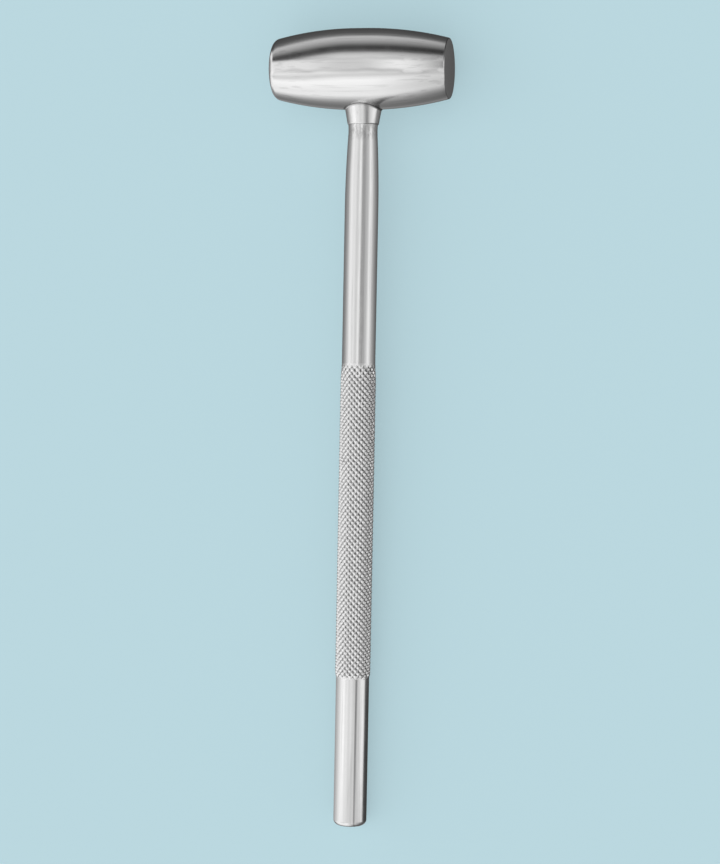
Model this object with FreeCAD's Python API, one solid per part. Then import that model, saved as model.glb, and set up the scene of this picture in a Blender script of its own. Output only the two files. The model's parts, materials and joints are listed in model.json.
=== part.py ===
"""Surgical mallet: a turned steel head on a knurled steel handle.

The mallet lies at rest on a surface at Z = 0. It touches it with the belly of the
barrel-shaped head and with the rounded edge of the handle's butt. X runs along the
head, Y along the handle towards the head, Z is up. The origin is at the bottom centre
of the part's box. All lengths are in millimetres.

Each piece is first turned about its own axis with the head's centre at the origin:
the head along X, the handle, ferrule and weld along -Y, a little to the right of the
head's middle. "Depth" is the distance from the head's axis towards the butt. The last
step tips the whole mallet down onto the surface.
"""

import FreeCAD, Part

import math
import os

from FreeCAD import Vector

# Head: a barrel whose profile is an arc on each side of a short straight land. The
# face radii are where the arcs would meet the striking faces without the rims' rounding.
HEAD_LENGTH = 53.2
HEAD_RADIUS = 12.0
HEAD_LAND_LENGTH = 3.4
LEFT_FACE_RADIUS = 8.7
RIGHT_FACE_RADIUS = 8.9
LEFT_RIM_RADIUS = 2.3
RIGHT_RIM_RADIUS = 0.45

# The handle's axis, to the right of the head's middle.
HANDLE_OFFSET = 0.8

# Blind socket in the head's underside, and the handle's tenon that goes into it.
SOCKET_DEPTH = 10.0
TENON_RADIUS = 3.0
TENON_CHAMFER = 0.5
TENON_RADIAL_CLEARANCE = 0.03
TENON_END_CLEARANCE = 0.5

# Ferrule: a tapered collar coped to the barrel, with a rounded lip. Its length and
# its top radius are taken at the lowest line of the barrel.
FERRULE_LENGTH = 4.5
FERRULE_TOP_RADIUS = 5.42
FERRULE_LIP_RADIUS = 4.62
FERRULE_LIP_ROUNDING = 0.4

# Weld: it fills a rebate round the top of the ferrule and is ground to a small fillet.
WELD_FACE_RADIUS = 0.7
WELD_ROOT_DEPTH = 0.5
WELD_ROOT_WIDTH = 1.2

# Handle, from the ferrule down: flare, tapered neck, shank, knurled grip, plain end.
SHOULDER_RADIUS = 4.41
FLARE_LENGTH = 3.1
NECK_RADIUS = 4.35
NECK_LENGTH = 22.2
SHANK_RADIUS = 5.0
SHANK_LENGTH = 45.5
GRIP_LENGTH = 94.6
PLAIN_END_LENGTH = 44.8
BUTT_EDGE_RADIUS = 1.6

# Diamond knurl: rows of pyramids between crossed grooves. The rows fade out at both
# ends of the grip, where the band stands a little inside the plain handle.
KNURL_PITCH_AROUND = 1.745
KNURL_PITCH_ALONG = 1.768
KNURL_TIP_RISE = 0.26
KNURL_GROOVE_DEPTH = 0.2
KNURL_END_STEP = 0.05
KNURL_UPPER_FADE = 4.5
KNURL_LOWER_FADE = 1.2

# Depths that follow from the lengths above.
SOCKET_FLOOR_DEPTH = HEAD_RADIUS - SOCKET_DEPTH
SHOULDER_DEPTH = HEAD_RADIUS + FERRULE_LENGTH
NECK_DEPTH = SHOULDER_DEPTH + FLARE_LENGTH
SHANK_DEPTH = NECK_DEPTH + NECK_LENGTH
GRIP_DEPTH = SHANK_DEPTH + SHANK_LENGTH
PLAIN_END_DEPTH = GRIP_DEPTH + GRIP_LENGTH
BUTT_DEPTH = PLAIN_END_DEPTH + PLAIN_END_LENGTH

# Two shapes closer than this touch.
TOUCHING = 1e-3

HEAD_CENTRE = Vector(0, 0, 0)
ALONG_HEAD = Vector(1, 0, 0)
TOWARDS_BUTT = Vector(0, -1, 0)


def on_handle(depth, radius, turn=0):
    """A point at a radius from the handle's axis. At turn 0 it is in the head's plane."""
    across = HANDLE_OFFSET + radius * math.cos(turn)
    return Vector(across, -depth, radius * math.sin(turn))


def outline(points):
    """Straight edges from each point to the next."""
    return [Part.makeLine(start, end) for start, end in zip(points, points[1:])]


def bend(start, control, end):
    """A smooth curve that leaves and reaches its ends in the directions of control."""
    curve = Part.BezierCurve()
    curve.setPoles([start, control, end])
    return curve.toShape()


def arc(start, middle, end):
    return Part.Arc(start, middle, end).toShape()


def turned(edges, centre, axis):
    """The solid that a closed profile sweeps about the axis through a centre."""
    profile = Part.Face(Part.Wire(edges))
    return profile.revolve(centre, axis, 360)


def bore(start_depth, end_depth):
    """What the drill removes for the tenon between two depths."""
    radius = TENON_RADIUS + TENON_RADIAL_CLEARANCE
    start = on_handle(start_depth, 0)
    return Part.makeCylinder(radius, end_depth - start_depth, start, TOWARDS_BUTT)


def towards(start, target, distance):
    """The point at a distance from start in the direction of target."""
    direction = target - start
    return start + direction * (distance / direction.Length)


def half_barrel(side, face_radius, rim_radius, land_radius):
    """Profile from the centre of one striking face to the land, side -1 left, +1 right.

    The rim's arc is tangent to the face and, from inside, to the barrel's arc.
    """
    face_x = side * HEAD_LENGTH / 2
    land_x = side * HEAD_LAND_LENGTH / 2
    run = abs(face_x - land_x)
    drop = HEAD_RADIUS - face_radius
    barrel_radius = (run ** 2 + drop ** 2) / (2 * drop)
    barrel_centre = Vector(land_x, land_radius - barrel_radius, 0)

    rim_x = face_x - side * rim_radius
    rise = math.sqrt((barrel_radius - rim_radius) ** 2 - (rim_x - land_x) ** 2)
    rim_centre = Vector(rim_x, barrel_centre.y + rise, 0)
    rim_on_face = Vector(face_x, rim_centre.y, 0)
    rim_on_barrel = towards(barrel_centre, rim_centre, barrel_radius)
    rim_middle = towards(rim_centre, (rim_on_face + rim_on_barrel) * 0.5, rim_radius)

    land_end = Vector(land_x, land_radius, 0)
    barrel_middle = towards(barrel_centre, (rim_on_barrel + land_end) * 0.5, barrel_radius)
    return [
        Part.makeLine(Vector(face_x, 0, 0), rim_on_face),
        arc(rim_on_face, rim_middle, rim_on_barrel),
        arc(rim_on_barrel, barrel_middle, land_end),
    ]


def barrel(growth=0):
    """The head without its socket, or a body that stands proud of it by growth."""
    half_length = HEAD_LENGTH / 2
    land_radius = HEAD_RADIUS + growth
    half_land = HEAD_LAND_LENGTH / 2
    land = outline([Vector(-half_land, land_radius, 0), Vector(half_land, land_radius, 0)])
    axis = outline([Vector(half_length, 0, 0), Vector(-half_length, 0, 0)])
    left = half_barrel(-1, LEFT_FACE_RADIUS, LEFT_RIM_RADIUS, land_radius)
    right = half_barrel(1, RIGHT_FACE_RADIUS, RIGHT_RIM_RADIUS, land_radius)
    return turned(left + land + right[::-1] + axis, HEAD_CENTRE, ALONG_HEAD)


def head():
    """The barrel with the blind socket in its underside."""
    return barrel().cut(bore(SOCKET_FLOOR_DEPTH, SHOULDER_DEPTH))


def collar():
    """The ferrule's solid taper, from inside the barrel down to its rounded lip."""
    slope = (FERRULE_TOP_RADIUS - FERRULE_LIP_RADIUS) / FERRULE_LENGTH
    start_depth = HEAD_RADIUS - FERRULE_TOP_RADIUS / 2
    start_radius = FERRULE_LIP_RADIUS + slope * (SHOULDER_DEPTH - start_depth)
    solid = turned(
        outline(
            [
                on_handle(start_depth, 0),
                on_handle(start_depth, start_radius),
                on_handle(SHOULDER_DEPTH, FERRULE_LIP_RADIUS),
                on_handle(SHOULDER_DEPTH, 0),
                on_handle(start_depth, 0),
            ]
        ),
        on_handle(0, 0),
        TOWARDS_BUTT,
    )
    return with_rounded_end(solid, SHOULDER_DEPTH, FERRULE_LIP_ROUNDING)


def with_rounded_end(solid, depth, rounding):
    """Round the outer edge of the flat end that a handle piece has at this depth."""
    end_edges = []
    for edge in solid.Edges:
        box = edge.BoundBox
        if abs(box.YMin + depth) < TOUCHING and abs(box.YMax + depth) < TOUCHING:
            end_edges.append(edge)
    return solid.makeFillet(rounding, end_edges)


def weld_root():
    """The part of the collar's top that the weld takes: a ring on the barrel."""
    inner_radius = FERRULE_TOP_RADIUS - WELD_ROOT_WIDTH
    start = on_handle(0, 0)
    core = Part.makeCylinder(inner_radius, SHOULDER_DEPTH, start, TOWARDS_BUTT)
    return collar().common(barrel(WELD_ROOT_DEPTH)).cut([barrel(), core])


def ferrule():
    """The collar, coped to the barrel, rebated for the weld and bored for the tenon."""
    return collar().cut([barrel(), weld_root(), bore(0, 2 * SHOULDER_DEPTH)])


def weld_fillet():
    """The ground weld: its root, and a fillet along the seam of barrel and collar."""
    solids = [barrel(), collar()]
    joined = solids[0].fuse(solids[1])
    seam = [edge for edge in joined.Edges if lies_on_all(edge, solids)]
    face = joined.makeFillet(WELD_FACE_RADIUS, seam).cut(solids)
    return face.fuse(weld_root())


def lies_on_all(edge, solids):
    """Whether the middle of an edge lies on the surface of each solid."""
    middle = edge.valueAt((edge.FirstParameter + edge.LastParameter) / 2)
    probe = Part.Vertex(middle)
    return all(probe.distToShape(solid.Shells[0])[0] < TOUCHING for solid in solids)


def upper_handle():
    """Tenon, shoulder, flare, tapered neck and shank, down to the knurl."""
    tenon_depth = SOCKET_FLOOR_DEPTH + TENON_END_CLEARANCE
    neck_control = NECK_DEPTH + NECK_LENGTH / 2
    neck_slope = (SHANK_RADIUS - NECK_RADIUS) / (neck_control - NECK_DEPTH)
    flare_control = SHOULDER_DEPTH + FLARE_LENGTH / 2
    flare_radius = NECK_RADIUS - neck_slope * (NECK_DEPTH - flare_control)

    shoulder = on_handle(SHOULDER_DEPTH, SHOULDER_RADIUS)
    neck = on_handle(NECK_DEPTH, NECK_RADIUS)
    shank = on_handle(SHANK_DEPTH, SHANK_RADIUS)
    tenon = outline(
        [
            on_handle(tenon_depth, 0),
            on_handle(tenon_depth, TENON_RADIUS - TENON_CHAMFER),
            on_handle(tenon_depth + TENON_CHAMFER, TENON_RADIUS),
            on_handle(SHOULDER_DEPTH, TENON_RADIUS),
            shoulder,
        ]
    )
    taper = [
        bend(shoulder, on_handle(flare_control, flare_radius), neck),
        bend(neck, on_handle(neck_control, SHANK_RADIUS), shank),
    ]
    shank_and_axis = outline(
        [
            shank,
            on_handle(GRIP_DEPTH, SHANK_RADIUS),
            on_handle(GRIP_DEPTH, 0),
            on_handle(tenon_depth, 0),
        ]
    )
    return turned(tenon + taper + shank_and_axis, on_handle(0, 0), TOWARDS_BUTT)


def plain_end():
    """The plain end below the knurl, with the butt's rounded edge."""
    start = on_handle(PLAIN_END_DEPTH, 0)
    solid = Part.makeCylinder(SHANK_RADIUS, PLAIN_END_LENGTH, start, TOWARDS_BUTT)
    return with_rounded_end(solid, BUTT_DEPTH, BUTT_EDGE_RADIUS)


def knurl_radius(row, column, rows):
    """Radius of one corner of the knurl: tips and grooves alternate like a chessboard."""
    end_radius = SHANK_RADIUS - KNURL_END_STEP
    from_upper_end = row * GRIP_LENGTH / rows
    from_lower_end = GRIP_LENGTH - from_upper_end
    fade = min(1, from_upper_end / KNURL_UPPER_FADE, from_lower_end / KNURL_LOWER_FADE)
    if (row + column) % 2:
        full_radius = SHANK_RADIUS + KNURL_TIP_RISE
    else:
        full_radius = SHANK_RADIUS - KNURL_GROOVE_DEPTH
    return end_radius + fade * (full_radius - end_radius)


def knurled_grip():
    """The knurled band as one faceted solid, with four facets to each pyramid."""
    rows = 2 * round(GRIP_LENGTH / KNURL_PITCH_ALONG)
    columns = 2 * round(2 * math.pi * SHANK_RADIUS / KNURL_PITCH_AROUND)
    corners = []
    for row in range(rows + 1):
        depth = GRIP_DEPTH + row * GRIP_LENGTH / rows
        for column in range(columns):
            turn = 2 * math.pi * column / columns
            corners.append(on_handle(depth, knurl_radius(row, column, rows), turn))

    def corner(row, column):
        return row * columns + column % columns

    facets = []
    for row in range(rows):
        for column in range(columns):
            upper_left = corner(row, column)
            upper_right = corner(row, column + 1)
            lower_left = corner(row + 1, column)
            lower_right = corner(row + 1, column + 1)
            # The facets of a square meet along the groove that crosses it.
            if (row + column) % 2:
                facets.append((upper_left, upper_right, lower_left))
                facets.append((upper_right, lower_right, lower_left))
            else:
                facets.append((upper_left, upper_right, lower_right))
                facets.append((upper_left, lower_right, lower_left))

    upper_centre = len(corners)
    lower_centre = upper_centre + 1
    corners.append(on_handle(GRIP_DEPTH, 0))
    corners.append(on_handle(PLAIN_END_DEPTH, 0))
    for column in range(columns):
        facets.append((upper_centre, corner(0, column + 1), corner(0, column)))
        facets.append((lower_centre, corner(rows, column), corner(rows, column + 1)))

    surface = Part.Shape()
    surface.makeShapeFromMesh((corners, facets), TOUCHING / 10)
    return Part.makeSolid(Part.makeShell(surface.Faces))


def handle():
    """The whole handle: one rod, turned and knurled."""
    return upper_handle().fuse([knurled_grip(), plain_end()])


def laid_down(shape):
    """Tip the mallet about the head's axis until the butt's edge meets the surface."""
    along = BUTT_DEPTH - BUTT_EDGE_RADIUS
    across = SHANK_RADIUS - BUTT_EDGE_RADIUS
    height = HEAD_RADIUS - BUTT_EDGE_RADIUS
    tilt = math.asin(height / math.hypot(along, across)) - math.atan2(across, along)
    butt_reach = along * math.cos(tilt) + across * math.sin(tilt) + BUTT_EDGE_RADIUS
    head_y = (butt_reach - HEAD_RADIUS) / 2

    placed = shape.copy()
    placed.rotate(HEAD_CENTRE, ALONG_HEAD, math.degrees(tilt))
    placed.translate(Vector(0, head_y, HEAD_RADIUS))
    return placed


def main():
    pieces = {
        "head": head(),
        "ferrule": ferrule(),
        "weld_fillet": weld_fillet(),
        "handle": handle(),
    }
    os.makedirs("parts", exist_ok=True)
    for name, shape in pieces.items():
        laid_down(shape).exportStep(os.path.join("parts", name + ".step"))


main()
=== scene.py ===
# %% [markdown]
# # A surgical mallet, dressed for its picture
# A surgical mallet is a small steel hammer: a barrel-shaped head, turned and polished,
# welded to a steel handle with a knurled grip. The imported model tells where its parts
# lie. This lesson draws the head and the handle again, with the main measures of their
# solids, and adds the looks: the smooth shapes that clean reflections need, the
# diamonds of the grip, and steel that is polished, ground or knurled.
#
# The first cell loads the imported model. It selects all that it brings in, so everything
# is deselected before anything new is made.

import json
import math
import random
from collections import namedtuple

import bmesh
import bpy
from mathutils import Matrix, Vector


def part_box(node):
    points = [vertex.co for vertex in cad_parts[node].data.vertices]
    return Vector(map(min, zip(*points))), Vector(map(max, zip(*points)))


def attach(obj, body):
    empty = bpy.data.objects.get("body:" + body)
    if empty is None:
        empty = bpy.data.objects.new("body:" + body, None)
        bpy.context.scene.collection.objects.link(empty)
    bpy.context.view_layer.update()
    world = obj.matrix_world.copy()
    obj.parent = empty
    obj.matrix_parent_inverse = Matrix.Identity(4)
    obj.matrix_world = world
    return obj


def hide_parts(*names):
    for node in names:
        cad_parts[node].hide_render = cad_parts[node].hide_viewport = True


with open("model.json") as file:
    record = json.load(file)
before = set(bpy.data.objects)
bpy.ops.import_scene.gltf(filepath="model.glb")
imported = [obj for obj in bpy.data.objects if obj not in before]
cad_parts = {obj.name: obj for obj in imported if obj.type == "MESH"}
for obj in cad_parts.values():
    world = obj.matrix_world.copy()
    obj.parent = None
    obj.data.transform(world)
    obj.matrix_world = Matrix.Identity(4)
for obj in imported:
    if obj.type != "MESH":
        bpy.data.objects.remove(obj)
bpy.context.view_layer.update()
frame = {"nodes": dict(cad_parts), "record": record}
bpy.ops.object.select_all(action="DESELECT")

MM = 0.001
print("nodes:", sorted(frame["nodes"]))

# %% [markdown]
# ## The mallet's own frame
# The mallet lies a little tipped, on the belly of its head and the edge of its butt. It
# is easier to model upright: the head's centre at the origin, the head along X and the
# handle down -Y, a little to the right of the head's middle. "Depth" is the distance
# from the head's axis down the handle. One matrix then lays each finished piece down.
# The head's box gives its centre, and the mount at the end of the handle gives the
# handle's place and the tilt.

# %% Where the mallet lies
head_low, head_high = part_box("head")
HEAD_CENTRE = (head_low + head_high) / 2
HEAD_LENGTH = head_high.x - head_low.x
HEAD_RADIUS = (head_high.z - head_low.z) / 2

mounts = {mount["name"]: mount for mount in frame["record"]["mounts"]}
HANDLE_OFFSET = mounts["handle_end"]["pos_m"][0] - HEAD_CENTRE.x
towards_butt = Vector(mounts["handle_end"]["axis"])
TILT = math.atan2(-towards_butt.z, -towards_butt.y)
LAY_DOWN = Matrix.Translation(HEAD_CENTRE) @ Matrix.Rotation(TILT, 4, "X")
print("head:", round(HEAD_LENGTH / MM, 2), "mm long")
print("handle:", round(HANDLE_OFFSET / MM, 2), "mm to the right of the head's middle")
print("tilt:", round(math.degrees(TILT), 3), "degrees")


def on_handle(depth, radius):
    """A point of a handle profile, from millimetres."""
    return Vector((HANDLE_OFFSET + radius * MM, -depth * MM, 0))


# %% [markdown]
# ## The camera
# The photograph looks down on the mallet from about 63 centimetres, with the head's
# right end turned slightly towards the camera. The distance shows in the outline: the
# ferrule is seen from below and the butt from above, and the near half of the head
# looks larger. The turn, the tip and the roll below come from fitting these outlines.
# The offset is where the head's centre is in the picture, measured from the middle. A
# camera could also be aimed at a point, but its roll would then be a guess, so its
# matrix is worked out from the three turns. The sensor's width is that of the picture's
# longer side, its height.

# %% Camera
PIXEL = 0.297 * MM
CAMERA_DISTANCE = 2130 * PIXEL
HEAD_ACROSS = 1.6 * PIXEL
HEAD_UP = 362.89 * PIXEL
PICTURE_HEIGHT = 864 * PIXEL
SENSOR_WIDTH = 36.0
CAMERA_TURN = math.radians(-12.7)
CAMERA_TIP = math.radians(3.0)
CAMERA_ROLL = math.radians(-1.1)
NEAREST_SEEN = 0.1
FARTHEST_SEEN = 20

seen_from_camera = (
    Matrix.Translation((HEAD_ACROSS, HEAD_UP, -CAMERA_DISTANCE))
    @ Matrix.Rotation(CAMERA_ROLL, 4, "Z")
    @ Matrix.Rotation(CAMERA_TIP, 4, "X")
    @ Matrix.Rotation(CAMERA_TURN, 4, "Y")
)

bpy.ops.object.camera_add()
camera = bpy.context.object
camera.name = "camera"
camera.matrix_world = LAY_DOWN @ seen_from_camera.inverted()
camera.data.sensor_width = SENSOR_WIDTH
camera.data.lens = SENSOR_WIDTH * CAMERA_DISTANCE / PICTURE_HEIGHT
camera.data.clip_start = NEAREST_SEEN
camera.data.clip_end = FARTHEST_SEEN
bpy.context.scene.camera = camera
print("lens:", round(camera.data.lens, 1), "mm")
print("camera at:", tuple(round(c, 3) for c in camera.location))

# %% [markdown]
# ## Turning on a lathe
# The head and the handle's plain parts are turned, so here too a profile is drawn and
# spun. A new plane is merged into one vertex, which is moved to the first point of the
# profile and extruded from point to point. Spin then carries the line round the axis.
# Its first and last copies and the points on the axis are merged, so the surface is
# closed, and the normals are made to face outwards.

# %% Helpers for turned shapes
SPIN_STEPS = 180
SAME_PLACE = 1e-7
SMOOTH_BELOW = math.radians(18)


def turned(name, profile, centre, axis):
    """Draws a profile from point to point and spins it about the axis through a centre."""
    bpy.ops.mesh.primitive_plane_add(size=MM)
    piece = bpy.context.object
    piece.name = name
    bpy.ops.object.mode_set(mode="EDIT")
    bpy.ops.mesh.merge(type="CENTER")
    bpy.ops.transform.translate(value=profile[0])
    for start, end in zip(profile, profile[1:]):
        bpy.ops.mesh.extrude_vertices_move(TRANSFORM_OT_translate={"value": end - start})
    bpy.ops.mesh.select_all(action="SELECT")
    bpy.ops.mesh.spin(steps=SPIN_STEPS, angle=2 * math.pi, center=centre, axis=axis)
    bpy.ops.mesh.select_all(action="SELECT")
    bpy.ops.mesh.remove_doubles(threshold=SAME_PLACE)
    bpy.ops.mesh.normals_make_consistent(inside=False)
    bpy.ops.object.mode_set(mode="OBJECT")
    print(name, len(piece.data.polygons), "faces")
    return piece


def select(active, *others):
    """Selects these pieces and nothing else, and makes the first one active."""
    bpy.ops.object.select_all(action="DESELECT")
    for piece in (active, *others):
        piece.select_set(True)
    bpy.context.view_layer.objects.active = active


def joined(active, *others):
    """One piece made of several. It keeps the place of the first."""
    select(active, *others)
    bpy.ops.object.join()
    return bpy.context.object


def lay_down(piece):
    """Puts a finished piece in its place on the floor, with that place in its mesh."""
    select(piece)
    piece.matrix_world = LAY_DOWN
    bpy.ops.object.transform_apply(location=True, rotation=True, scale=True)
    bpy.ops.object.shade_smooth_by_angle(angle=SMOOTH_BELOW)
    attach(piece, "root")


# %% [markdown]
# ## The head
# The head is one solid barrel of steel. A short straight land round its middle runs out
# into a long shallow arc on each side. Its two striking faces are flat. The left rim is
# rounded over, and the right rim is almost sharp, with just its edge broken. A cylinder
# that a modifier bulges out would give about this shape, but arcs that meet smoothly
# keep the reflections unbroken, so the profile is drawn from arcs.

# %% Profile of the head
LAND_LENGTH = 3.4 * MM
LEFT_FACE = 8.7 * MM
LEFT_RIM = 2.3 * MM
RIGHT_FACE = 8.9 * MM
RIGHT_RIM = 0.45 * MM
BARREL_POINTS = 26
RIM_POINTS = 9


def arc_points(centre, radius, start, end, count):
    """Points on an arc from one angle to another, in the plane of X and Y."""
    angles = [start + (end - start) * step / (count - 1) for step in range(count)]
    return [centre + Vector((math.cos(a), math.sin(a), 0)) * radius for a in angles]


def half_barrel(side, face, rim):
    """Points from the centre of one striking face to the land, side -1 left, +1 right."""
    face_x = HEAD_LENGTH / 2
    land_x = LAND_LENGTH / 2
    drop = HEAD_RADIUS - face
    barrel = ((face_x - land_x) ** 2 + drop ** 2) / (2 * drop)
    barrel_centre = Vector((land_x, HEAD_RADIUS - barrel, 0))
    rim_x = face_x - rim
    rise = math.sqrt((barrel - rim) ** 2 - (rim_x - land_x) ** 2)
    rim_centre = barrel_centre + Vector((rim_x - land_x, rise, 0))
    meeting = math.atan2(rise, rim_x - land_x)
    rim_arc = arc_points(rim_centre, rim, 0, meeting, RIM_POINTS)
    side_arc = arc_points(barrel_centre, barrel, meeting, math.pi / 2, BARREL_POINTS)
    points = [Vector((face_x, 0, 0))] + rim_arc + side_arc[1:]
    return [Vector((side * point.x, point.y, 0)) for point in points]


left_half = half_barrel(-1, LEFT_FACE, LEFT_RIM)
right_half = half_barrel(1, RIGHT_FACE, RIGHT_RIM)
head = turned("mallet_head", left_half + right_half[::-1], centre=(0, 0, 0), axis=(1, 0, 0))
lay_down(head)
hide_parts("head")

# %% [markdown]
# ## The plain parts of the handle
# The handle is one rod. A tenon goes up into the head through the ferrule. Below the
# ferrule's lip the rod starts with a short flare, narrows into a neck, and widens
# slowly to the full thickness of the shank. Below the grip a plain end closes with a
# rounded edge. The neck's two curves are quadratic curves with shared directions, so
# no line shows where they meet. Depths and radii are in millimetres.

# %% Upper handle and plain end
TENON_DEPTH = 2.5
TENON_RADIUS = 3.0
TENON_CHAMFER = 0.5
SHOULDER_DEPTH = 16.5
SHOULDER_RADIUS = 4.41
NECK_DEPTH = 19.6
NECK_RADIUS = 4.35
SHANK_DEPTH = 41.8
SHANK_RADIUS = 5.0
GRIP_DEPTH = 87.3
PLAIN_END_DEPTH = 181.9
BUTT_DEPTH = 226.7
BUTT_EDGE = 1.6
SEAM_WIDTH = 0.3
FLARE_POINTS = 8
WIDENING_POINTS = 16
BUTT_EDGE_POINTS = 10


def turned_rod(name, profile):
    """A part of the handle, spun about the handle's axis."""
    return turned(name, profile, centre=on_handle(0, 0), axis=(0, -1, 0))


def bend(start, control, end, count):
    """Points on a smooth curve that leaves and reaches its ends towards control."""
    shares = [step / (count - 1) for step in range(count)]
    return [
        start * (1 - t) ** 2 + control * 2 * t * (1 - t) + end * t ** 2 for t in shares
    ]


neck_control_depth = (NECK_DEPTH + SHANK_DEPTH) / 2
neck_slope = (SHANK_RADIUS - NECK_RADIUS) / (neck_control_depth - NECK_DEPTH)
flare_control_depth = (SHOULDER_DEPTH + NECK_DEPTH) / 2
flare_radius = NECK_RADIUS - neck_slope * (NECK_DEPTH - flare_control_depth)

neck = on_handle(NECK_DEPTH, NECK_RADIUS)
flare = bend(
    on_handle(SHOULDER_DEPTH, SHOULDER_RADIUS),
    on_handle(flare_control_depth, flare_radius),
    neck,
    FLARE_POINTS,
)
widening = bend(
    neck,
    on_handle(neck_control_depth, SHANK_RADIUS),
    on_handle(SHANK_DEPTH, SHANK_RADIUS),
    WIDENING_POINTS,
)
tenon = [
    on_handle(TENON_DEPTH, 0),
    on_handle(TENON_DEPTH, TENON_RADIUS - TENON_CHAMFER),
    on_handle(TENON_DEPTH + TENON_CHAMFER, TENON_RADIUS),
    on_handle(SHOULDER_DEPTH, TENON_RADIUS),
]
shank_end = [on_handle(GRIP_DEPTH - SEAM_WIDTH, SHANK_RADIUS)]
upper = turned_rod("upper_handle", tenon + flare + widening[1:] + shank_end)

edge_centre = on_handle(BUTT_DEPTH - BUTT_EDGE, SHANK_RADIUS - BUTT_EDGE)
butt_edge = arc_points(edge_centre, BUTT_EDGE * MM, 0, -math.pi / 2, BUTT_EDGE_POINTS)
plain_profile = [on_handle(PLAIN_END_DEPTH + SEAM_WIDTH, SHANK_RADIUS)] + butt_edge
plain_end = turned_rod("plain_end", plain_profile + [on_handle(BUTT_DEPTH, 0)])

# %% [markdown]
# ## One diamond of the knurl
# A knurling wheel presses two sets of crossed grooves into the rod, and raises a small
# pyramid in each diamond between them. The diamonds are 1.78 mm long and 18 of them go
# round the rod. Displacement from a texture would need a very fine mesh and would still
# blur the edges, so one diamond is modelled and copied. A circle of four corners is a
# diamond. Its sides are halved, so that later the corners alone can be pushed in. Three
# insets with a height make the groove's side, the pyramid's wall and its worn edge, and
# leave a small flat tip. It stands upright in the plane of X and Z, with its tip towards
# -Y, because the next steps wrap it round Z. Neighbours are half a diamond apart, so
# the columns and rows below count half diamonds.

# %% The diamond
COLUMNS = 36
ROWS = 106
GRIP_LENGTH = (PLAIN_END_DEPTH - GRIP_DEPTH) * MM
COLUMN = 2 * math.pi * SHANK_RADIUS * MM / COLUMNS
ROW = GRIP_LENGTH / ROWS
DIAMOND_INSETS = ((0.06, 0.03), (0.40, 0.20), (0.06, 0.03))


def diamond(name, column, row):
    """One diamond with its centre at a column and row of the flat grip."""
    bpy.ops.mesh.primitive_circle_add(
        vertices=4, radius=1, fill_type="NGON", rotation=(math.pi / 2, 0, 0)
    )
    tile = bpy.context.object
    tile.name = name
    tile.scale = (COLUMN, ROW, 1)
    tile.location = (column * COLUMN, 0, -row * ROW)
    bpy.ops.object.transform_apply(location=True, rotation=True, scale=True)
    bpy.ops.object.mode_set(mode="EDIT")
    bpy.ops.mesh.subdivide(number_cuts=1)
    bpy.ops.mesh.dissolve_faces()
    for thickness, height in DIAMOND_INSETS:
        bpy.ops.mesh.inset(thickness=thickness * MM, depth=height * MM)
    bpy.ops.object.mode_set(mode="OBJECT")
    return tile


def spread(tile, columns, rows):
    """Copies a diamond round and down the flat grip with two Array modifiers."""
    select(tile)
    for name, count, step in (
        ("round", columns, (2 * COLUMN, 0, 0)),
        ("down", rows, (0, 0, -2 * ROW)),
    ):
        array = tile.modifiers.new(name, "ARRAY")
        array.count = count
        array.use_relative_offset = False
        array.use_constant_offset = True
        array.constant_offset_displace = step
        bpy.ops.object.modifier_apply(modifier=name)


even_diamonds = diamond("grip", column=0, row=1)
spread(even_diamonds, COLUMNS // 2, ROWS // 2)
odd_diamonds = diamond("odd_diamonds", column=1, row=0)
spread(odd_diamonds, COLUMNS // 2, ROWS // 2 + 1)
print("diamonds:", COLUMNS // 2 * (ROWS + 1))

# %% [markdown]
# ## The flat grip
# The two sets fill each other's gaps. They are joined, merged, and cut straight at both
# ends with bisect. Where two grooves cross, the wheel has pressed in a small pit, and the
# steel that it pushed aside makes the grip a little thicker than the rod. Real knurling
# also runs out at its ends: the pits get shallow, and the tips don't rise above the
# rod. No two diamonds are worn alike either. These are changes of height only, so
# they are made while the grip is still flat. The grooves don't wear, so the grip's two
# long edges still meet when it is rolled. Part way down, the wheel was set on again and
# its pattern sits a little to the side of the first one.

# %% Flat grip with its run-outs
TIP_RISE = 0.26 * MM
GRIP_SWELL = 0.08 * MM
PIT_DEPTH = 0.22 * MM
PIT_SIZE = 0.35 * MM
UPPER_PIT_FADE = 1.6 * MM
UPPER_TIP_FADE = 5.0 * MM
LOWER_PIT_FADE = 1.0 * MM
LOWER_TIP_FADE = 1.6 * MM
TIP_WEAR = 0.02 * MM
WEAR_SEED = 7
WEAR_RANGE = (-1, 0.4)
ON_THE_WALL = 0.01 * MM
SECOND_PASS_DEPTH = 28.3 * MM
SECOND_PASS_BLEND = 1.5 * MM
SECOND_PASS_SHIFT = 0.3 * MM

grip = joined(even_diamonds, odd_diamonds)
bpy.ops.object.mode_set(mode="EDIT")
bpy.ops.mesh.select_all(action="SELECT")
bpy.ops.mesh.remove_doubles(threshold=SAME_PLACE)
for end, outwards in ((0, 1), (-GRIP_LENGTH, -1)):
    bpy.ops.mesh.select_all(action="SELECT")
    bpy.ops.mesh.bisect(
        plane_co=(0, 0, end), plane_no=(0, 0, outwards), clear_outer=True, threshold=SAME_PLACE
    )
bpy.ops.object.mode_set(mode="OBJECT")


def share(distance, whole):
    """How far a distance has come along a whole one, from 0 to 1."""
    return max(0.0, min(1.0, distance / whole))


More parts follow.
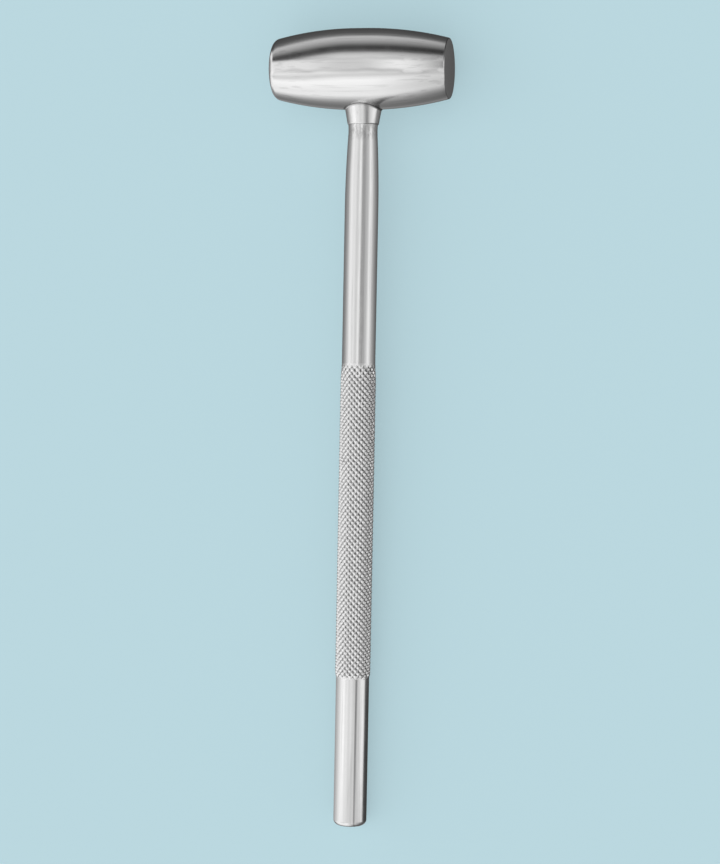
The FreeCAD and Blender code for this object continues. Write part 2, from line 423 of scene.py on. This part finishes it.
wear = {}
wear_chance = random.Random(WEAR_SEED)
for vertex in grip.data.vertices:
    place = vertex.co
    from_top = -place.z
    from_bottom = GRIP_LENGTH + place.z
    nearest = (round(place.x / COLUMN), round(place.z / ROW))
    if nearest not in wear:
        wear[nearest] = TIP_WEAR * wear_chance.uniform(*WEAR_RANGE)
    height = -place.y
    if height > ON_THE_WALL:
        height += wear[nearest]
    tips = min(share(from_top, UPPER_TIP_FADE), share(from_bottom, LOWER_TIP_FADE))
    height = min(height, tips * (TIP_RISE + TIP_WEAR)) + tips * GRIP_SWELL
    if sum(nearest) % 2 == 0:
        away = math.hypot(place.x - nearest[0] * COLUMN, place.z - nearest[1] * ROW)
        pits = min(share(from_top, UPPER_PIT_FADE), share(from_bottom, LOWER_PIT_FADE))
        height -= pits * PIT_DEPTH * share(PIT_SIZE - away, PIT_SIZE)
    place.y = -height
    moved = share(from_top - SECOND_PASS_DEPTH, SECOND_PASS_BLEND)
    place.x += SECOND_PASS_SHIFT * moved
print("flat grip:", len(grip.data.polygons), "faces")

# %% [markdown]
# ## Wrapping the grip
# A Simple Deform modifier set to Bend rolls the flat grip into a tube. It bends along X
# about Z. The angle is the grip's width divided by the rod's radius, so the last column
# lands on the first. The tube is then turned to lie along the handle, joined to the
# plain parts, and the open rings are bridged, so the handle is one closed skin.

# %% Rolled grip
SEAM_MEETS_WITHIN = 0.002 * MM
across = [vertex.co.x for vertex in grip.data.vertices]
roll_up = grip.modifiers.new("roll", "SIMPLE_DEFORM")
roll_up.deform_method = "BEND"
roll_up.deform_axis = "Z"
roll_up.angle = (max(across) - min(across)) / (SHANK_RADIUS * MM)
bpy.ops.object.modifier_apply(modifier="roll")

bpy.ops.object.mode_set(mode="EDIT")
bpy.ops.mesh.select_all(action="SELECT")
bpy.ops.transform.translate(value=(0, -SHANK_RADIUS * MM, 0))
bpy.ops.mesh.remove_doubles(threshold=SEAM_MEETS_WITHIN)
bpy.ops.object.mode_set(mode="OBJECT")
grip.rotation_euler = (-math.pi / 2, 0, 0)
grip.location = on_handle(GRIP_DEPTH, 0)
bpy.ops.object.transform_apply(location=True, rotation=True, scale=True)
print("grip box:", [round(side / MM, 2) for side in grip.dimensions])

# %% [markdown]
# ## Steel
# All the steel is bare and bright, so its colour is nearly the same everywhere. What
# tells the parts apart is how fine their surface is: the head is polished along its
# length, the plain parts of the handle along theirs, the rod is dull where it was
# ground below the ferrule, and the grip is frosted, with its pits painted dark as residue and
# shade.
#
# Noise that is stretched along one direction gives fine lines, and plain noise gives
# the cloudy spots that handling leaves. Every steel uses both, so they share a node
# group. Another group, which comes first, turns the place of a point into millimetres
# in the mallet's own frame, so that "along the head" is X and "along the handle" is Y.
#
# The helpers below make nodes. An input gets either a number or another node's output.

# %% Node helpers
def new_group(name, inputs, outputs):
    """An empty shader node group, with what comes into it and what goes out of it."""
    group = bpy.data.node_groups.new(name, "ShaderNodeTree")
    for socket, kind, default in inputs:
        made = group.interface.new_socket(name=socket, in_out="INPUT", socket_type=kind)
        if default is not None:
            made.default_value = default
    for socket, kind in outputs:
        group.interface.new_socket(name=socket, in_out="OUTPUT", socket_type=kind)
    incoming = group.nodes.new("NodeGroupInput").outputs
    outgoing = group.nodes.new("NodeGroupOutput").inputs
    return group, incoming, outgoing


def feed(tree, socket, value):
    """Sets an input to a value, or links it to another node's output."""
    if isinstance(value, bpy.types.NodeSocket):
        tree.links.new(value, socket)
    else:
        socket.default_value = value


def add(tree, kind, **values):
    """A node with some of its properties set, and some of its inputs fed, by name."""
    node = tree.nodes.new(kind)
    for key, value in values.items():
        if hasattr(node, key):
            setattr(node, key, value)
        else:
            feed(tree, node.inputs[key.replace("_", " ")], value)
    return node


def place_group(tree, group, **values):
    """The outputs of a group that is placed in a material, with its own values."""
    return add(tree, "ShaderNodeGroup", node_tree=group, **values).outputs


def result_of(tree, kind, *values, **settings):
    """The output of a node whose inputs are fed in their own order."""
    node = add(tree, kind, **settings)
    for socket, value in zip(node.inputs, values):
        feed(tree, socket, value)
    return node.outputs[0]


def math_node(tree, operation, *values):
    """The result of one Math node."""
    return result_of(tree, "ShaderNodeMath", *values, operation=operation)


def scaled(tree, vector, factor):
    """A vector or a colour, times a number."""
    node = add(tree, "ShaderNodeVectorMath", operation="SCALE", Vector=vector, Scale=factor)
    return node.outputs["Vector"]


def parts_of(tree, vector):
    """The three numbers of a vector, under the names X, Y and Z."""
    return add(tree, "ShaderNodeSeparateXYZ", Vector=vector).outputs


def smooth_step(tree, value, low, high, to_low=0.0, to_high=1.0):
    """A soft change from one number to another while a value goes from low to high."""
    node = add(
        tree,
        "ShaderNodeMapRange",
        interpolation_type="SMOOTHSTEP",
        Value=value,
        From_Min=low,
        From_Max=high,
        To_Min=to_low,
        To_Max=to_high,
    )
    return node.outputs["Result"]


# %% [markdown]
# The place of a point comes from Object coordinates. Every piece lies at the origin, so
# these are its place in the row frame. A Mapping node of the Texture kind undoes the
# laying down: it takes away the head's centre and the tilt, and divides by a
# millimetre. The group also tells how far a point is from the handle's axis and from the
# head's axis.

# %% Group: place on the mallet
on_mallet, _, outgoing = new_group(
    "place_on_mallet",
    [],
    [
        ("Place", "NodeSocketVector"),
        ("Depth", "NodeSocketFloat"),
        ("Radius", "NodeSocketFloat"),
        ("Head Radius", "NodeSocketFloat"),
    ],
)
coordinates = add(on_mallet, "ShaderNodeTexCoord")
stand_up = add(
    on_mallet,
    "ShaderNodeMapping",
    vector_type="TEXTURE",
    Vector=coordinates.outputs["Object"],
    Location=HEAD_CENTRE,
    Rotation=(TILT, 0, 0),
    Scale=(MM, MM, MM),
)
parts = parts_of(on_mallet, stand_up.outputs["Vector"])
on_mallet.links.new(stand_up.outputs["Vector"], outgoing["Place"])
depth = math_node(on_mallet, "MULTIPLY", parts["Y"], -1.0)
on_mallet.links.new(depth, outgoing["Depth"])
from_axis = math_node(on_mallet, "SUBTRACT", parts["X"], HANDLE_OFFSET / MM)
height_squared = math_node(on_mallet, "MULTIPLY", parts["Z"], parts["Z"])
for name, beside in (("Radius", from_axis), ("Head Radius", parts["Y"])):
    squares = math_node(on_mallet, "MULTIPLY_ADD", beside, beside, height_squared)
    on_mallet.links.new(math_node(on_mallet, "SQRT", squares), outgoing[name])
print("group:", on_mallet.name, "with", len(on_mallet.nodes), "nodes")

# %% [markdown]
# Polishing leaves lines along the stroke. The group below stretches noise by a scale
# for each direction: a small number along the stroke and large ones across it. It gives
# a fine set of lines that only blurs the reflections, a coarse set that the eye sees as
# faint streaks, and cloudy smudges that change the gloss a little.

# %% Group: polishing lines
polish, incoming, outgoing = new_group(
    "polishing_lines",
    [
        ("Place", "NodeSocketVector", None),
        ("Stretch", "NodeSocketVector", (1, 1, 1)),
        ("Streak Size", "NodeSocketFloat", 1.0),
    ],
    [("Lines", "NodeSocketFloat"), ("Streaks", "NodeSocketFloat"), ("Smudges", "NodeSocketFloat")],
)
stretched = result_of(
    polish, "ShaderNodeVectorMath", incoming["Place"], incoming["Stretch"], operation="MULTIPLY"
)
widened = scaled(polish, stretched, incoming["Streak Size"])
for source, name, scale, detail in (
    (stretched, "Lines", 5.0, 2.0),
    (widened, "Streaks", 1.0, 3.0),
    (incoming["Place"], "Smudges", 0.35, 4.0),
):
    noise = add(polish, "ShaderNodeTexNoise", Vector=source, Scale=scale, Detail=detail)
    polish.links.new(noise.outputs["Fac"], outgoing[name])
print("group:", polish.name, "with", len(polish.nodes), "nodes")

# %% [markdown]
# ## The materials
# Each steel is a Principled BSDF with Metallic 1, which stays in the material itself.
# Its Base Color is how much light the bare metal gives back, a little over half for
# stainless steel. Lines and smudges move the colour slightly and the roughness more,
# and a very shallow bump lets the lines catch the light.
#
# A dark line or a streak is a mask: it is darkest where a value, such as the height on
# the head, is near one number, and 1 where nothing changes. Each steel is kept together
# with those of its nodes and sockets that the next cells need.

# %% Steel materials
STAINLESS = (0.60, 0.60, 0.60, 1)
DARKER_STAINLESS = (0.53, 0.53, 0.53, 1)
STREAK_RANGE = (0.32, 0.44)
GLOSS_RANGE = (0.7, 1.3)
ALONG_HEAD_LINES = (0.02, 1.4, 1.4)
ALONG_HANDLE_LINES = (1.6, 0.03, 1.6)

Steel = namedtuple("Steel", "material tree shader place colour roughness")


def bare_steel(name, stretch, streak_size, gloss, bump, tones=(DARKER_STAINLESS, STAINLESS)):
    """Bare steel. gloss is its lowest and highest roughness, bump is in millimetres."""
    material = bpy.data.materials.new(name)
    material.use_nodes = True
    tree = material.node_tree
    shader = tree.nodes["Principled BSDF"]
    shader.inputs["Metallic"].default_value = 1.0
    place = place_group(tree, on_mallet)
    lines = place_group(
        tree, polish, Place=place["Place"], Stretch=stretch, Streak_Size=streak_size
    )

    streaks = smooth_step(tree, lines["Streaks"], *STREAK_RANGE)
    tone = add(tree, "ShaderNodeMix", data_type="RGBA", Factor=streaks, A=tones[0], B=tones[1])
    colour = tone.outputs["Result"]
    tree.links.new(colour, shader.inputs["Base Color"])

    mixed = math_node(tree, "ADD", lines["Lines"], lines["Smudges"])
    roughness = smooth_step(tree, mixed, *GLOSS_RANGE, *gloss)
    tree.links.new(roughness, shader.inputs["Roughness"])

    height = math_node(tree, "ADD", lines["Lines"], lines["Streaks"])
    relief = add(tree, "ShaderNodeBump", Strength=1.0, Distance=bump * MM, Height=height)
    tree.links.new(relief.outputs["Normal"], shader.inputs["Normal"])
    return Steel(material, tree, shader, place, colour, roughness)


def dark_line(tree, value, middle, width, darkest):
    """A mask that is darkest where a value is at the middle, and 1 beyond the width."""
    from_middle = math_node(tree, "ABSOLUTE", math_node(tree, "SUBTRACT", value, middle))
    return smooth_step(tree, from_middle, 0.0, width, darkest, 1.0)


def darken(steel, mask):
    """Multiplies a steel's colour by a mask that is 1 where nothing changes."""
    shaded = scaled(steel.tree, steel.colour, mask)
    steel.tree.links.new(shaded, steel.shader.inputs["Base Color"])


# %% [markdown]
# The head carries two soft, slightly wavy lines that the polishing belt left along it.
# The height on the head is moved up and down by slow noise, which makes a line wavy.
# The same noise lets it fade, and it ends at the rims. The mask looks only at the
# height, so the lines are on the back of the head too. Each line's three numbers are
# its height and width in millimetres and how dark it gets.

# %% Head steel
WAVE_HEIGHT = 2.4
WAVE_SIZE = 0.09
UPPER_LINE = (1.7, 0.8, 0.86)
LOWER_LINE = (-1.7, 0.9, 0.76)
LINE_ENDS = (22.0, 25.5)
LINE_FADE = (0.42, 0.66)

head_steel = bare_steel(
    "head_polish", ALONG_HEAD_LINES, streak_size=0.9, gloss=(0.12, 0.17), bump=0.001
)
tree = head_steel.tree
place = head_steel.place["Place"]
parts = parts_of(tree, place)
only_along = result_of(tree, "ShaderNodeVectorMath", place, (1, 0, 0), operation="MULTIPLY")
noise = add(tree, "ShaderNodeTexNoise", Vector=only_along, Scale=WAVE_SIZE, Detail=1.0)
waves = noise.outputs["Fac"]
wavy = math_node(tree, "MULTIPLY_ADD", waves, WAVE_HEIGHT, parts["Y"])
line_shades = []
for height, width, darkest in (UPPER_LINE, LOWER_LINE):
    line_shades.append(dark_line(tree, wavy, height + WAVE_HEIGHT / 2, width, darkest))
both_lines = math_node(tree, "MULTIPLY", *line_shades)
from_middle = math_node(tree, "ABSOLUTE", parts["X"])
past_ends = smooth_step(tree, from_middle, *LINE_ENDS)
kept_clean = math_node(tree, "MAXIMUM", past_ends, smooth_step(tree, waves, *LINE_FADE))
darken(head_steel, math_node(tree, "MAXIMUM", both_lines, kept_clean))
print("head steel:", len(tree.nodes), "nodes")

# %% [markdown]
# The weld is ground flush with the ferrule. Where it meets the head, a thin dark line of
# painted shade stands for the shadow in the crease: a line at one distance from the
# head's axis. The rest of the weld is also painted a little darker than the ferrule, as
# shade. A band of painted shade, a little right of the middle, runs down over the weld
# and the ferrule, and a narrow one runs down the handle's plain end. Each band's three
# numbers are its place across and its width in millimetres, and how dark it gets.

# %% Ferrule and weld steel
CREASE = (12.05, 12.3)
CREASE_SHADE = (0.3, 0.8)
WIDE_PAINTED_SHADE = (2.8, 1.1, 0.55)
NARROW_PAINTED_SHADE = (3.0, 0.45, 0.6)


def painted_shade_band(steel, middle, width, darkest):
    """A mask of painted shade, darker in one band along the handle."""
    parts = parts_of(steel.tree, steel.place["Place"])
    return dark_line(steel.tree, parts["X"], middle, width, darkest)


ferrule_steel = bare_steel(
    "ferrule_polish", ALONG_HANDLE_LINES, streak_size=0.8, gloss=(0.14, 0.24), bump=0.004
)
# Painted shade: a darker band down the ferrule, drawn into its colour.
darken(ferrule_steel, painted_shade_band(ferrule_steel, *WIDE_PAINTED_SHADE))

weld_steel = bare_steel(
    "ground_weld", ALONG_HANDLE_LINES, streak_size=0.8, gloss=(0.2, 0.34), bump=0.01
)
tree = weld_steel.tree
# Painted shade: the crease and the rest of the weld are darkened in their colour, as where shade
# falls.
crease_painted_shade = smooth_step(tree, weld_steel.place["Head Radius"], *CREASE, *CREASE_SHADE)
# Painted shade: the same darker band down the weld.
weld_painted_shade = painted_shade_band(weld_steel, *WIDE_PAINTED_SHADE)
darken(weld_steel, math_node(tree, "MULTIPLY", crease_painted_shade, weld_painted_shade))
print("weld steel:", len(tree.nodes), "nodes")

# %% [markdown]
# The rod is polished like the head. Just below the ferrule it was ground after welding,
# and a patchy dull zone stayed there. A mask along the depth, broken up by noise, makes
# the steel in that zone rougher and darker. The narrow band of painted shade starts below the
# grip.

# %% Handle steel
GROUND_ZONE_EDGE = (19.0, 22.0)
PATCH_STRETCH = (1.3, 0.45, 1.3)
PATCH_EDGE = (0.42, 0.58)
PATCH_ROUGHNESS = 0.12
PATCH_SHADE = 0.25
SHADE_BAND_BLEND = 2.0

handle_steel = bare_steel(
    "handle_polish", ALONG_HANDLE_LINES, streak_size=0.9, gloss=(0.12, 0.2), bump=0.004
)
tree = handle_steel.tree
depth = handle_steel.place["Depth"]
ground = smooth_step(tree, depth, *GROUND_ZONE_EDGE, 1.0, 0.0)
patches = place_group(tree, polish, Place=handle_steel.place["Place"], Stretch=PATCH_STRETCH)
patch_mask = smooth_step(tree, patches["Streaks"], *PATCH_EDGE)
patchy = math_node(tree, "MULTIPLY", ground, patch_mask)
rougher = math_node(tree, "MULTIPLY_ADD", patchy, PATCH_ROUGHNESS, handle_steel.roughness)
tree.links.new(rougher, handle_steel.shader.inputs["Roughness"])

# Painted shade: a narrow darker band down the plain end, below the grip.
above_end = smooth_step(tree, depth, PLAIN_END_DEPTH - SHADE_BAND_BLEND, PLAIN_END_DEPTH, 1.0, 0.0)
end_painted_shade = math_node(tree, "MAXIMUM", painted_shade_band(handle_steel, *NARROW_PAINTED_SHADE), above_end)
ground_shade = math_node(tree, "MULTIPLY_ADD", patchy, -PATCH_SHADE, 1.0)
darken(handle_steel, math_node(tree, "MULTIPLY", ground_shade, end_painted_shade))
print("handle steel:", len(tree.nodes), "nodes")

# %% [markdown]
# In the grip, the distance from the handle's axis tells a pit from a tip. The pits are
# painted dark: a residue, and painted shade for the recess. The change follows the radius, so it
# fits each diamond from any side.

# %% Knurl steel
PIT_RADIUS = 4.88
CLEAN_RADIUS = 5.0
RESIDUE_AND_SHADE = (0.2, 0.2, 0.2, 1)
PALE_STEEL = ((0.58, 0.58, 0.58, 1), (0.66, 0.66, 0.66, 1))
ALL_ROUND_LINES = (0.8, 0.8, 0.8)

knurl_steel = bare_steel(
    "knurl_frosted",
    ALL_ROUND_LINES,
    streak_size=1.0,
    gloss=(0.2, 0.32),
    bump=0.004,
    tones=PALE_STEEL,
)
tree = knurl_steel.tree
# The pits are painted dark: a residue, and painted shade where the recesses are shaded.
raised = smooth_step(tree, knurl_steel.place["Radius"], PIT_RADIUS, CLEAN_RADIUS)
residue_and_shade = add(
    tree, "ShaderNodeMix", data_type="RGBA", Factor=raised, A=RESIDUE_AND_SHADE, B=knurl_steel.colour
)
tree.links.new(residue_and_shade.outputs["Result"], knurl_steel.shader.inputs["Base Color"])
print("materials:", [material.name for material in bpy.data.materials])

# %% [markdown]
# ## One closed handle
# The plain parts and the grip get their materials, and are joined. The open rings on
# both sides of each gap are selected by their place and bridged.

# %% Join and bridge
for part, steel in ((upper, handle_steel), (plain_end, handle_steel), (grip, knurl_steel)):
    part.data.materials.append(steel.material)

handle = joined(upper, grip, plain_end)
handle.name = "mallet_handle"

bpy.ops.object.mode_set(mode="EDIT")
for ring_depth in (GRIP_DEPTH, PLAIN_END_DEPTH):
    bpy.ops.mesh.select_all(action="DESELECT")
    shape = bmesh.from_edit_mesh(handle.data)
    for edge in shape.edges:
        middle = (edge.verts[0].co + edge.verts[1].co) / 2
        near = abs(middle.y / MM + ring_depth) < 2 * SEAM_WIDTH
        edge.select = edge.is_boundary and near
    bmesh.update_edit_mesh(handle.data)
    bpy.ops.mesh.select_mode(type="EDGE")
    bpy.ops.mesh.bridge_edge_loops()
bpy.ops.mesh.select_all(action="SELECT")
bpy.ops.mesh.normals_make_consistent(inside=False)
shape = bmesh.from_edit_mesh(handle.data)
print("open edges left:", sum(edge.is_boundary for edge in shape.edges))
bpy.ops.object.mode_set(mode="OBJECT")
lay_down(handle)
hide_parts("handle")
print("handle:", len(handle.data.polygons), "faces")

# %% [markdown]
# ## Ferrule and weld
# The tapered ferrule is coped to the barrel, and the weld between them is ground to a
# small fillet. Their solids have the right shapes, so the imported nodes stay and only
# get better materials.

# %% Materials of the head, the ferrule and the weld
head.data.materials.append(head_steel.material)
for node_name, steel, slot_name in (
    ("ferrule", ferrule_steel, "handle_steel"),
    ("weld_fillet", weld_steel, "weld_steel"),
):
    node = frame["nodes"][node_name]
    for material_slot in node.material_slots:
        material_slot.material = steel.material
    print(node_name, "gets", steel.material.name)

# %% [markdown]
# ## Floor
# The floor is plain, matt and pale blue, as the photograph's background is. It is
# large, so that its edge is far away. In the photograph that background was put behind
# the mallet afterwards, and the steel doesn't show any of it: it shows the dim room all
# round. Steel that mirrored a pale floor would lose its outline against it, so the
# floor lets mirror rays through to the room. Light and shadow fall on it as usual. A
# part of its colour reaches the camera directly, which keeps the shadow light.

# %% Floor
FLOOR_SIZE = 24.0
FLOOR_COLOUR = (0.522, 0.722, 0.782, 1)
SHADE_FREE_PART = 0.55


def mix_shaders(tree, factor, first, second):
    """The first shader where the factor is 0, and the second where it is 1."""
    return result_of(tree, "ShaderNodeMixShader", factor, first, second)


bpy.ops.mesh.primitive_plane_add(size=FLOOR_SIZE)
floor = bpy.context.object
floor.name = "floor"
floor_paint = bpy.data.materials.new("floor_paint")
floor_paint.use_nodes = True
tree = floor_paint.node_tree
paint = tree.nodes["Principled BSDF"]
paint.inputs["Base Color"].default_value = FLOOR_COLOUR
paint.inputs["Roughness"].default_value = 1.0
paint.inputs["Specular IOR Level"].default_value = 0.0
glow = add(tree, "ShaderNodeEmission", Color=FLOOR_COLOUR, Strength=1.0)
clear = add(tree, "ShaderNodeBsdfTransparent")
ray = add(tree, "ShaderNodeLightPath")
glow_part = math_node(tree, "MULTIPLY", ray.outputs["Is Camera Ray"], SHADE_FREE_PART)
lit = mix_shaders(tree, glow_part, paint.outputs["BSDF"], glow.outputs["Emission"])
shown = mix_shaders(tree, ray.outputs["Is Glossy Ray"], lit, clear.outputs["BSDF"])
tree.links.new(shown, tree.nodes["Material Output"].inputs["Surface"])
floor.data.materials.append(floor_paint)
print("floor:", FLOOR_SIZE, "m wide")

# %% [markdown]
# ## Light
# Polished steel shows the room that it stands in, so the light is drawn as a room. It
# could be built from lamps and cards, but a world that gets its brightness from the
# direction alone lights the floor evenly to its edge. A direction is told by three
# angles: across the handle, along it, and how far it leans along.
#
# The smooth rod mirrors only directions that lean little. What it sees is drawn by two
# grey ramps over the angle across, one for the upper handle and one for the plain end:
# a large window on the left, a dim ceiling right of the camera, a second window low on
# the right. The head mirrors what lies along the handle: a third ramp, with the window's
# lower edge and a dark gap beyond the head. The knurl's walls look to all sides, so two
# short ramps tell how bright the room is for walls that face up or down the handle.
#
# All were set to the bands in the photograph. Each stop is an angle in degrees
# and the brightness that the steel gets there. Steel gives back only a share of the
# light, so in the end the brightness is divided by that share.

# %% The room's ramps
UPPER_ROD = (
    (-180, 0.05), (-135, 0.14), (-106, 0.24), (-83, 0.44), (-66, 0.76), (-56, 0.80),
    (-44, 0.70), (-30, 0.73), (-17, 0.56), (-10, 0.56), (1, 0.84), (8, 0.70), (17, 0.30),
    (32, 0.29), (46, 0.42), (58, 0.46), (70, 0.75), (79, 0.80), (90, 0.62), (102, 0.40),
    (122, 0.25), (142, 0.14), (180, 0.05),
)
PLAIN_END = (
    (-180, 0.10), (-140, 0.30), (-116, 0.42), (-92, 0.60), (-72, 0.79), (-56, 0.91),
    (-45, 0.94), (-36, 0.72), (-23, 0.79), (-9, 0.62), (5, 0.73), (18, 0.62), (32, 0.55),
    (38, 0.26), (44, 0.36), (54, 0.55), (70, 0.66), (84, 0.81), (97, 0.81), (106, 0.62),
    (114, 0.12), (126, 0.05), (180, 0.03),
)
ALONG = (
    (-180, 0.10), (-170, 0.22), (-160, 0.22), (-150, 0.15), (-136, 0.14), (-118, 0.22),
    (-106, 0.38), (-97, 0.58), (-88, 0.80), (-72, 0.76), (-56, 0.83), (-40, 0.90),
    (-32, 0.78), (-26, 0.58), (-19, 0.62), (-10, 0.72), (12, 0.70), (24, 0.66), (32, 0.54),
    (38, 0.42), (43, 0.12), (52, 0.04), (60, 0.06), (70, 0.22), (84, 0.40), (95, 0.48),
    (102, 0.18), (115, 0.08), (140, 0.05), (180, 0.05),
)
WALLS_FACING_UP = (
    (-180, 0.05), (-150, 0.50), (-110, 0.72), (-70, 0.76), (-20, 0.72), (5, 0.55),
    (25, 0.32), (44, 0.16), (62, 0.10), (84, 0.06), (104, 0.04), (180, 0.03),
)
WALLS_FACING_DOWN = (
    (-180, 0.05), (-150, 0.55), (-110, 0.78), (-70, 0.84), (-20, 0.82), (20, 0.72),
    (44, 0.58), (62, 0.44), (84, 0.32), (104, 0.18), (124, 0.09), (150, 0.05), (180, 0.03),
)
print("stops:", [len(ramp) for ramp in (UPPER_ROD, PLAIN_END, ALONG)])

# %% [markdown]
# The direction's three numbers give the angles. The rod sees the plain end's ramp where
# a direction leans down the handle, and the upper one where it doesn't. A new ramp
# already has two stops, which are moved, and the others are added.

# %% Room
HALF_TURN = 180.0
ROD_LEAN = (-9.5, -3.5)

world = bpy.context.scene.world or bpy.data.worlds.new("room")
bpy.context.scene.world = world
world.use_nodes = True
room = world.node_tree
direction = add(room, "ShaderNodeTexCoord")
axes = parts_of(room, direction.outputs["Generated"])


def in_degrees(angle):
    """An angle in degrees, from one in radians."""
    return math_node(room, "MULTIPLY", angle, math.degrees(1))


def room_ramp(angle, stops):
    """Brightness over an angle from -180 to 180 degrees, straight between the stops."""
    place_in_ramp = math_node(room, "MULTIPLY_ADD", angle, 0.5 / HALF_TURN, 0.5)
    ramp = add(room, "ShaderNodeValToRGB", Fac=place_in_ramp)
    for number, (stop_angle, brightness) in enumerate(stops):
        position = 0.5 + 0.5 * stop_angle / HALF_TURN
        if number < 2:
            stop = ramp.color_ramp.elements[number]
            stop.position = position
        else:
            stop = ramp.color_ramp.elements.new(position)
        stop.color = (brightness, brightness, brightness, 1)
    return ramp.outputs["Color"]


def mix_numbers(share_of_second, first, second):
    """A number between two others."""
    node = add(room, "ShaderNodeMix", data_type="FLOAT", Factor=share_of_second, A=first, B=second)
    return node.outputs["Result"]


across = in_degrees(math_node(room, "ARCTAN2", axes["X"], axes["Z"]))
along = in_degrees(math_node(room, "ARCTAN2", axes["Y"], axes["Z"]))
leaning = in_degrees(math_node(room, "ARCSINE", axes["Y"]))
sideways = in_degrees(math_node(room, "ARCSINE", axes["X"]))

seen_by_rod = mix_numbers(
    smooth_step(room, leaning, *ROD_LEAN),
    room_ramp(across, PLAIN_END),
    room_ramp(across, UPPER_ROD),
)
print("room:", len(room.nodes), "nodes so far")

# %% [markdown]
# The window's edges slant, so on the barrel's slopes they are mirrored at other angles
# than in the middle. The angle along is shifted by how far a direction points sideways:
# on the left over the whole height, on the right only in the lower half. The right side
# is also a little dimmer. The head mirrors little from far to one side, so there the
# knurl's ramps are used. Directions that lean little are the rod's.
#
# The numbers below are angles in degrees between which a change happens. Where there
# are four, the last two are the values before and after it.

# %% What the head and the knurl see
STEEL_SHARE = 0.58
LEFT_SLANT = (-42, -13, 17, 0)
RIGHT_SLANT = (-13, 15, 0, -17)
LOWER_HALF = (-60, 0, 1, 0)
RIGHT_DIMMER = (-12, 18, 1.0, 0.66)
FAR_LEFT = (-62, -48, 1, 0)
FAR_RIGHT = (16, 30)
WALL_LEAN = (-10, 10)
HEAD_LEAN = (14, 24)

slant = math_node(
    room,
    "MULTIPLY_ADD",
    smooth_step(room, along, *LOWER_HALF),
    smooth_step(room, sideways, *RIGHT_SLANT),
    smooth_step(room, sideways, *LEFT_SLANT),
)
slanted = math_node(room, "ADD", along, slant)
side_light = smooth_step(room, sideways, *RIGHT_DIMMER)
seen_by_head = math_node(room, "MULTIPLY", room_ramp(slanted, ALONG), side_light)

seen_by_walls = mix_numbers(
    smooth_step(room, leaning, *WALL_LEAN),
    room_ramp(across, WALLS_FACING_DOWN),
    room_ramp(across, WALLS_FACING_UP),
)
beside_head = math_node(
    room,
    "MAXIMUM",
    smooth_step(room, sideways, *FAR_LEFT),
    smooth_step(room, sideways, *FAR_RIGHT),
)
brightness = mix_numbers(
    smooth_step(room, math_node(room, "ABSOLUTE", leaning), *HEAD_LEAN),
    seen_by_rod,
    mix_numbers(beside_head, seen_by_head, seen_by_walls),
)
light = room.nodes["Background"]
light.inputs["Color"].default_value = (1, 1, 1, 1)
strength = math_node(room, "DIVIDE", brightness, STEEL_SHARE)
room.links.new(strength, light.inputs["Strength"])
print("room:", len(room.nodes), "nodes")

# %% [markdown]
# A low camera looks past the floor's edge. There it gets the colour that the lit floor
# has, so the background is one colour from every side. Only camera rays see this.

# %% Backdrop
BACKDROP_LEVEL = 0.953
backdrop = add(room, "ShaderNodeBackground", Color=FLOOR_COLOUR, Strength=BACKDROP_LEVEL)
ray = add(room, "ShaderNodeLightPath")
seen = mix_shaders(
    room,
    ray.outputs["Is Camera Ray"],
    light.outputs["Background"],
    backdrop.outputs["Background"],
)
room.links.new(seen, room.nodes["World Output"].inputs["Surface"])
print("backdrop level:", BACKDROP_LEVEL)

# %% [markdown]
# ## Finish
# The picture shows colours as they are, so the view transform is Standard.

# %% View
bpy.context.scene.view_settings.view_transform = "Standard"
